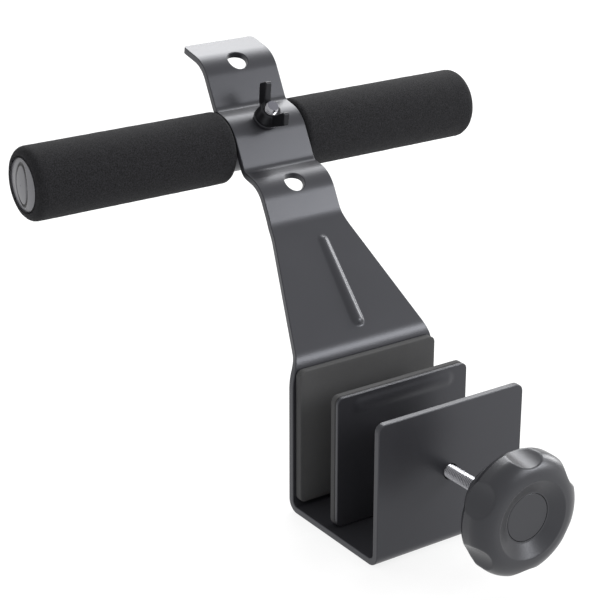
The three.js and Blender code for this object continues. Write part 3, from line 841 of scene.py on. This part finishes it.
low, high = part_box("clamp_knob")
crown_wide, crown_deep = high.x - RIM_RADIUS, CROWN_Y - low.y
hub_and_skirt = filleted([
    (BORE, high.y, 0.3 * mm), (HUB_RADIUS - 1 * mm, high.y, 0.4 * mm),
    (HUB_RADIUS, high.y - 1.4 * mm, 0.4 * mm), (HUB_RADIUS - 0.4 * mm, -121.6 * mm, 2.2 * mm),
    (26.5 * mm, -122.9 * mm, 2 * mm), (33.4 * mm, -125.6 * mm, 2 * mm),
    (high.x, SHOULDER_Y, 2 * mm), (high.x, CROWN_Y, 0),
])
crown = [
    Vector((RIM_RADIUS + crown_wide * math.cos(a), CROWN_Y - crown_deep * math.sin(a)))
    for a in (math.radians(90) * k / CROWN_STEPS for k in range(1, CROWN_STEPS - 3))
]
dish = filleted([
    (RIM_RADIUS + 2 * mm, low.y + 0.17 * mm, 0), (RIM_RADIUS - 0.4 * mm, low.y, 1.1 * mm),
    (RECESS_RADIUS + 0.8 * mm, DISH_Y, 0.5 * mm), (RECESS_RADIUS, DISH_Y + 0.15 * mm, 0.12 * mm),
    (RECESS_RADIUS, RECESS_Y, 0.2 * mm), (POCKET_RADIUS, RECESS_Y, 0.3 * mm),
    (POCKET_RADIUS, POCKET_Y, 0.3 * mm), (BORE, POCKET_Y, 0.3 * mm), (BORE, high.y - 4 * mm, 0),
])
bm = turned(hub_and_skirt + crown + dish, KNOB_STEPS, row=0.6 * mm)
for v in bm.verts:
    radius = v.co.xy.length
    v.co.xy *= fluted(radius, math.atan2(-v.co.y, v.co.x), v.co.z) / radius
plastic = moulded_plastic()
knob = make_turned("scooped_hand_knob", bm, clamp_axis, plastic)
fit(knob, "screw", "clamp_knob")

low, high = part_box("knob_cap")
disc = filleted([
    (0, low.y, 0), (high.x, low.y, 0.35 * mm), (high.x, high.y, 0.3 * mm), (0, high.y, 0),
])
bm = turned(disc, DISC_STEPS, row=1.2 * mm)
cap = make_turned("knob_cover_disc", bm, clamp_axis, plastic)
fit(cap, "screw", "knob_cap")


# ---- Bar tube ----
# A 32 mm steel tube, rolled and seam-welded, drilled through its middle for the bolt and
# coated black. The grips are pushed on from its ends, so little of it shows.

TUBE_RADIUS = 16 * mm
TUBE_WALL = 1.5 * mm
TUBE_STEPS = 120
TUBE_ROW = 4 * mm

low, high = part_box("bar_tube")
tube_half = high.x
bar_middle = (low + high) / 2
record_joints = frame["record"]["behaviour"]["joints"]
slide_axis = next(joint["axis"] for joint in record_joints if joint["name"] == "bar_slide")
seat_lean = math.asin(slide_axis[1])
seat_axis = Matrix.Translation(bar_middle) @ Matrix.Rotation(seat_lean, 4, "X")

around = 2 * math.pi * TUBE_RADIUS
tube_step = around / TUBE_STEPS
bolt_hole = 5 * tube_step
across = spaced([-around / 2, around / 2], tube_step)
lengths = spaced([-tube_half, -2 * bolt_hole, -bolt_hole, bolt_hole, 2 * bolt_hole, tube_half],
                 lambda place: tube_step if abs(place) < 2 * bolt_hole else TUBE_ROW)
bm = sheared_grid(across, lengths)
punch(bm, [(side * around / 4, 0, bolt_hole) for side in (-1, 1)])
for v in bm.verts:
    angle = v.co.x / TUBE_RADIUS
    v.co = (v.co.y, TUBE_RADIUS * math.cos(angle), TUBE_RADIUS * math.sin(angle))
bmesh.ops.remove_doubles(bm, verts=bm.verts, dist=1e-6)
bmesh.ops.recalc_face_normals(bm, faces=bm.faces)
bmesh.ops.transform(bm, matrix=seat_axis, verts=bm.verts)
tube = make("rolled_bar_tube", bm, black_coat)
thicken(tube, TUBE_WALL)
fit(tube, "bar", "bar_tube")


# ---- Foam grips ----
# Two sleeves of soft black foam, ground to size and pushed over the tube up to the strap. The
# ground skin is open-celled and matt, and the ends are rounded, more so at the outside.

FOAM_BLACK = (0.005, 0.005, 0.0056, 1)
FOAM_SPECK = (0.026, 0.026, 0.029, 1)
FOAM_BORE = 16.15 * mm
FOAM_DROP = 0.1 * mm
PIT_DEPTH = 0.06 * mm
PITS_PER_METRE = 900
LUMP_DEPTH = 0.09 * mm
LUMPS_PER_METRE = 160
STRAP_END_ROUND = 3.4 * mm
FREE_END_ROUND = 5.2 * mm
FOAM_STEPS = 170


def open_foam():
    """Soft black foam with a ground surface: open cells that catch a little light."""
    material, shader, place = new_finish("open_foam", specular=0.14)
    shader.inputs["Sheen Weight"].default_value = 0.02
    shader.inputs["Sheen Roughness"].default_value = 0.5
    cells = grain(place, 0.75 * mm, detail=3.0, roughness=0.7)
    dust = grain(place, 0.35 * mm, detail=2.0)
    speck = ramp(cells * 0.55 + dust * 0.45, 0.42, 0.66)
    set_finish(shader, tint(speck, FOAM_BLACK, FOAM_SPECK), 0.85 + cells * 0.1, cells, 0.28 * mm)
    return material


foam = open_foam()
for side, sign in (("left", -1), ("right", 1)):
    low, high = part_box("foam_grip_" + side)
    skin = (high.z - low.z) / 2 - 0.05 * mm
    strap_end, free_end = STRAP_HALF + 0.15 * mm, max(-low.x, high.x)
    sleeve = filleted([
        (FOAM_BORE, strap_end, 0.4 * mm), (skin, strap_end, STRAP_END_ROUND),
        (skin, free_end, FREE_END_ROUND), (FOAM_BORE, free_end, 0.4 * mm),
    ])
    bm = turned(sleeve, FOAM_STEPS, row=1.2 * mm)
    for v in bm.verts:
        radius = v.co.xy.length
        if radius > FOAM_BORE + 0.5 * mm:
            bump = noise.noise(v.co * PITS_PER_METRE) * PIT_DEPTH - FOAM_DROP
            bump += noise.noise(v.co * LUMPS_PER_METRE) * LUMP_DEPTH
            v.co.xy *= 1 + bump / radius
    lying = Matrix.Translation(bar_middle) @ Matrix.Rotation(math.radians(90 * sign), 4, "Y")
    bmesh.ops.transform(bm, matrix=lying, verts=bm.verts)
    grip = make(side + "_foam_sleeve", bm, foam)
    fit(grip, "bar", "foam_grip_" + side)


# ---- End caps ----
# Plugs of dark grey plastic, pressed into the tube's ends. The round flange is slightly domed,
# and a fine groove, darkened with painted shade, frames a plain upright oval on it.

CAP_DARK = (0.09, 0.09, 0.098, 1)
CAP_GREY = (0.125, 0.125, 0.137, 1)
# Painted shade: the near-black colour laid along the recessed oval groove.
GROOVE_PAINTED_SHADE = (0.01, 0.01, 0.011, 1)
OVAL = (6.4 * mm, 12.3 * mm)
SHADE_BAND_HALF = 0.085
GROOVE_HALF = 0.85 * mm
GROOVE_DEPTH = 0.8 * mm
FLANGE_EDGE = 1.8 * mm
PLUG_RADIUS = 14.2 * mm
PLUG_WALL = 2 * mm
PLUG_LENGTH = 17.7 * mm
CAP_STEPS = 180


def cap_plastic():
    """Satin polyethylene, lightly scuffed, with painted shade laid in the groove."""
    material, shader, place = new_finish("cap_plastic", specular=0.6)
    scuffs = grain(place, 5 * mm, detail=5.0, roughness=0.65)
    spark = grain(place, 0.3 * mm)
    centred = place.node("VectorMath", {"operation": "SUBTRACT"}, {0: place, 1: bar_middle})
    squeeze = (0, 1 / OVAL[0], 1 / OVAL[1])
    round_oval = place.node("VectorMath", {"operation": "MULTIPLY"}, {0: centred, 1: squeeze})
    share = place.node("VectorMath", {"operation": "LENGTH"}, {0: round_oval}, "Value")
    off = (share - 1).node("Math", {"operation": "ABSOLUTE"}, {0: share - 1})
    # A band along the oval, over the groove, takes the painted shade.
    painted_groove_shade = off.sum("LESS_THAN", off, SHADE_BAND_HALF)
    colour = tint(painted_groove_shade, tint(scuffs, CAP_DARK, CAP_GREY), GROOVE_PAINTED_SHADE)
    set_finish(shader, colour, 0.3 + scuffs * 0.14, spark * 0.7 + scuffs * 0.5, 0.02 * mm)
    return material


satin_cap = cap_plastic()
for side, sign in (("left", -1), ("right", 1)):
    low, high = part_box("end_cap_" + side)
    top, flange_r = max(-low.x, high.x), (high.z - low.z) / 2
    under_flange, plug_end = tube_half + 0.3 * mm, tube_half - PLUG_LENGTH
    dome = top - tube_half - FLANGE_EDGE
    bm = turned(filleted([
        (0, top, 0), (flange_r, top, 0.5 * mm), (flange_r, under_flange, 0.2 * mm),
        (PLUG_RADIUS, under_flange, 0.2 * mm), (PLUG_RADIUS, plug_end, 0.3 * mm),
        (PLUG_RADIUS - PLUG_WALL, plug_end, 0.3 * mm),
        (PLUG_RADIUS - PLUG_WALL, under_flange, 0.3 * mm), (0, under_flange, 0),
    ]), CAP_STEPS, row=0.35 * mm)
    for v in bm.verts:
        if v.co.z < top - 0.6 * mm:
            continue
        v.co.z -= dome * (v.co.xy.length / flange_r) ** 2
        share = math.hypot(v.co.x / OVAL[1], v.co.y / OVAL[0])
        off = abs(share - 1) * v.co.xy.length / max(share, 1e-6)
        v.co.z -= GROOVE_DEPTH * max(1 - (off / GROOVE_HALF) ** 2, 0) ** 0.5
    lying = Matrix.Translation(bar_middle) @ Matrix.Rotation(math.radians(90 * sign), 4, "Y")
    bmesh.ops.transform(bm, matrix=lying, verts=bm.verts)
    plug = make(side + "_end_plug", bm, satin_cap)
    fit(plug, "bar", "end_cap_" + side)


# ---- Bar bolt and its washer ----
# An M8 carriage bolt in bright zinc goes through the tube and the seat's hole from behind, and
# its end is cropped, rougher and darkened by painted shade. A black washer lies on the strap
# under the wing nut.

BOLT_TOP = 33.3 * mm
THREADED = 20 * mm
CHAMFER = 0.75 * mm
POINT_RADIUS = 3.35 * mm
HEAD_FOOT = -16.3 * mm
HEAD_TOP = -20.7 * mm
HEAD_RADIUS = 9 * mm
HEAD_STEPS = 14
HEAD_SWEEP = math.radians(88)
WASHER_RADIUS = 8 * mm
WASHER_THICK = 1.6 * mm
WASHER_STEPS = 72
NUT_BORE = 4.3 * mm

thread_start = BOLT_TOP - THREADED
head = [
    Vector((HEAD_RADIUS * math.sin(a), HEAD_FOOT + (HEAD_TOP - HEAD_FOOT) * math.cos(a)))
    for a in (HEAD_SWEEP * k / HEAD_STEPS for k in range(HEAD_STEPS + 1))
]
stem = filleted([
    (HEAD_RADIUS, HEAD_FOOT - 0.1 * mm, 0), (HEAD_RADIUS, HEAD_FOOT, 0.1 * mm),
    (M8, HEAD_FOOT, 0.3 * mm), (M8, thread_start, 0),
])
stem += thread_rows(thread_start, BOLT_TOP - CHAMFER)
point = filleted([
    (M8, BOLT_TOP - CHAMFER, 0), (POINT_RADIUS, BOLT_TOP, 0.1 * mm), (0, BOLT_TOP, 0),
])
bm = turned(head + stem + point, THREAD_STEPS)
cut_thread(bm, thread_start, BOLT_TOP - 0.5 * mm)
bolt_way = -Vector(slide_axis)
# Beyond this depth along the bolt, painted shade darkens the zinc's colour.
cropped_at = bar_middle.dot(bolt_way) + BOLT_TOP - 0.05 * mm
bolt_zinc = bright_zinc("bolt_zinc", bolt_way, cropped_at)
bolt = make_turned("carriage_bolt", bm, seat_axis, bolt_zinc)
fit(bolt, "bar", "bar_bolt")

washer_low = SEAT_RADIUS + 0.3 * mm
washer_high = washer_low + WASHER_THICK
bm = turned(ring(NUT_BORE, WASHER_RADIUS, washer_low, washer_high, 0.3 * mm), WASHER_STEPS)
seat_washer = make_turned("black_seat_washer", bm, seat_axis, black_coat)
fit(seat_washer, "nut_washer", "nut_washer")


# ---- Wing nut ----
# One casting, coated black: a round hub that flares to its foot, and two ears that stand up
# the slope and down it. Every edge is rounded by the mould.

NUT_BLACK = (0.003, 0.003, 0.0034, 1)
NUT_GREY = (0.006, 0.006, 0.0068, 1)
NUT_FOOT = 22.5 * mm
NUT_TOP = 29.8 * mm
FOOT_RADIUS = 8 * mm
TOP_RADIUS = 6.3 * mm
EAR_ROOT = 5 * mm
EAR_REACH = 11 * mm
EAR_THICK = 4.4 * mm
EAR_THINNING = 0.9 * mm
EAR_CORNERS = [(4.6, 23.4, 0), (9.4, 25, 3), (16.4, 34.8, 1.1), (11.8, 41.8, 1.2), (4.6, 29.4, 0)]
CASTING_STEP = 0.3 * mm


def ear_thickness(reach):
    """The ear thins from the hub out to its end."""
    return EAR_THICK - EAR_THINNING * min(max(reach - EAR_ROOT, 0) / EAR_REACH, 1)


bm = turned(filleted([
    (NUT_BORE, NUT_FOOT, 0.2 * mm), (FOOT_RADIUS, NUT_FOOT, 0.5 * mm),
    (TOP_RADIUS, NUT_TOP, 0.7 * mm), (NUT_BORE, NUT_TOP, 0.3 * mm),
]), RING_STEPS)
for sign in (-1, 1):
    outline = filleted([(u * mm, h * mm, r * mm) for u, h, r in EAR_CORNERS])
    verts = [bm.verts.new((0, sign * u, h)) for u, h in outline]
    ear = bmesh.ops.extrude_face_region(bm, geom=[bm.faces.new(verts)], use_keep_orig=True)["geom"]
    moved = [g for g in ear if isinstance(g, bmesh.types.BMVert)]
    for v in verts:
        v.co.x = -ear_thickness(abs(v.co.y)) / 2
    for v in moved:
        v.co.x = ear_thickness(abs(v.co.y)) / 2
bmesh.ops.recalc_face_normals(bm, faces=bm.faces)
bmesh.ops.transform(bm, matrix=seat_axis, verts=bm.verts)
wing = make("cast_wing_nut", bm, powder_coat("nut_coat", NUT_BLACK, NUT_GREY, specular=0.28))
join = wing.modifiers.new("join", "REMESH")
join.mode = "VOXEL"
join.voxel_size = CASTING_STEP
join.use_smooth_shade = True
ease = wing.modifiers.new("ease", "SMOOTH")
ease.factor = 0.5
ease.iterations = 4
fit(wing, "wing_nut", "wing_nut")
